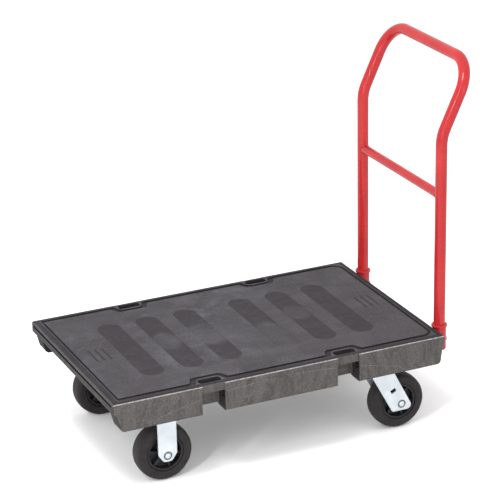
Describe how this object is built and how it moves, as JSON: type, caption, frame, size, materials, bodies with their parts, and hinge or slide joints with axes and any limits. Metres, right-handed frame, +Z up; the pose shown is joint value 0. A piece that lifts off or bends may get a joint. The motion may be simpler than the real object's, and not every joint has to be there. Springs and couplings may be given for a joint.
{
  "type": "flatbed platform truck",
  "caption": "Push truck with a flat moulded deck on fixed and swivel castors and a bent tubular steel push handle with a crossbar.",
  "frame": {"origin": "on the floor, under the middle of the whole truck's bounding box", "axes": "+X toward the handle end, +Y toward the truck's left side seen from the tail, +Z up"},
  "size_m": [1.0893, 0.61, 1.0138],
  "materials": {
    "deck_plastic": "dark grey structural foam, matt, scuffed",
    "red_paint": "glossy red powder coat",
    "zinc_steel": "bright zinc plate",
    "hub_plastic": "black moulded core, satin",
    "tyre_rubber": "dark grey solid rubber",
    "bushing_steel": "plain steel"
  },
  "bodies": {
    "truck": {"deck": "deck_plastic", "handle_tube": "red_paint", "handle_crossbar": "red_paint", "handle_socket_left": "red_paint", "handle_socket_right": "red_paint", "handle_retainer_left": "zinc_steel", "handle_retainer_right": "zinc_steel", "socket_bolt_left_inner": "zinc_steel", "socket_bolt_left_outer": "zinc_steel", "socket_bolt_right_inner": "zinc_steel", "socket_bolt_right_outer": "zinc_steel", "castor_bolt_fixed_left_1": "zinc_steel", "castor_bolt_fixed_left_2": "zinc_steel", "castor_bolt_fixed_left_3": "zinc_steel", "castor_bolt_fixed_left_4": "zinc_steel", "castor_bolt_fixed_right_1": "zinc_steel", "castor_bolt_fixed_right_2": "zinc_steel", "castor_bolt_fixed_right_3": "zinc_steel", "castor_bolt_fixed_right_4": "zinc_steel", "castor_bolt_swivel_left_1": "zinc_steel", "castor_bolt_swivel_left_2": "zinc_steel", "castor_bolt_swivel_left_3": "zinc_steel", "castor_bolt_swivel_left_4": "zinc_steel", "castor_bolt_swivel_right_1": "zinc_steel", "castor_bolt_swivel_right_2": "zinc_steel", "castor_bolt_swivel_right_3": "zinc_steel", "castor_bolt_swivel_right_4": "zinc_steel", "top_plate_swivel_left": "zinc_steel", "kingpin_swivel_left": "zinc_steel", "top_plate_swivel_right": "zinc_steel", "kingpin_swivel_right": "zinc_steel", "fork_fixed_left": "zinc_steel", "axle_bolt_fixed_left": "zinc_steel", "axle_nut_fixed_left": "zinc_steel", "axle_bushing_fixed_left": "bushing_steel", "fork_fixed_right": "zinc_steel", "axle_bolt_fixed_right": "zinc_steel", "axle_nut_fixed_right": "zinc_steel", "axle_bushing_fixed_right": "bushing_steel"},
    "wheel_fixed_left": {"tyre_fixed_left": "tyre_rubber", "hub_fixed_left": "hub_plastic"},
    "wheel_fixed_right": {"tyre_fixed_right": "tyre_rubber", "hub_fixed_right": "hub_plastic"},
    "swivel_left": {"fork_swivel_left": "zinc_steel", "ball_race_swivel_left": "zinc_steel", "axle_bolt_swivel_left": "zinc_steel", "axle_nut_swivel_left": "zinc_steel", "axle_bushing_swivel_left": "bushing_steel"},
    "wheel_swivel_left": {"tyre_swivel_left": "tyre_rubber", "hub_swivel_left": "hub_plastic"},
    "swivel_right": {"fork_swivel_right": "zinc_steel", "ball_race_swivel_right": "zinc_steel", "axle_bolt_swivel_right": "zinc_steel", "axle_nut_swivel_right": "zinc_steel", "axle_bushing_swivel_right": "bushing_steel"},
    "wheel_swivel_right": {"tyre_swivel_right": "tyre_rubber", "hub_swivel_right": "hub_plastic"}
  },
  "joints": [
    {"name": "fixed_left_wheel_spin", "type": "hinge", "parent": "truck", "child": "wheel_fixed_left", "pos_m": [-0.38319, 0.2205, 0.078], "axis": [0, 1, 0], "continuous": true},
    {"name": "fixed_right_wheel_spin", "type": "hinge", "parent": "truck", "child": "wheel_fixed_right", "pos_m": [-0.38319, -0.2205, 0.078], "axis": [0, 1, 0], "continuous": true},
    {"name": "swivel_left_castor_swivel", "type": "hinge", "parent": "truck", "child": "swivel_left", "pos_m": [0.24981, 0.2205, 0.182], "axis": [0, 0, 1], "continuous": true},
    {"name": "swivel_left_wheel_spin", "type": "hinge", "parent": "swivel_left", "child": "wheel_swivel_left", "pos_m": [0.30481, 0.2205, 0.078], "axis": [0, 1, 0], "continuous": true},
    {"name": "swivel_right_castor_swivel", "type": "hinge", "parent": "truck", "child": "swivel_right", "pos_m": [0.24981, -0.2205, 0.182], "axis": [0, 0, 1], "continuous": true},
    {"name": "swivel_right_wheel_spin", "type": "hinge", "parent": "swivel_right", "child": "wheel_swivel_right", "pos_m": [0.30481, -0.2205, 0.078], "axis": [0, 1, 0], "continuous": true}
  ]
}
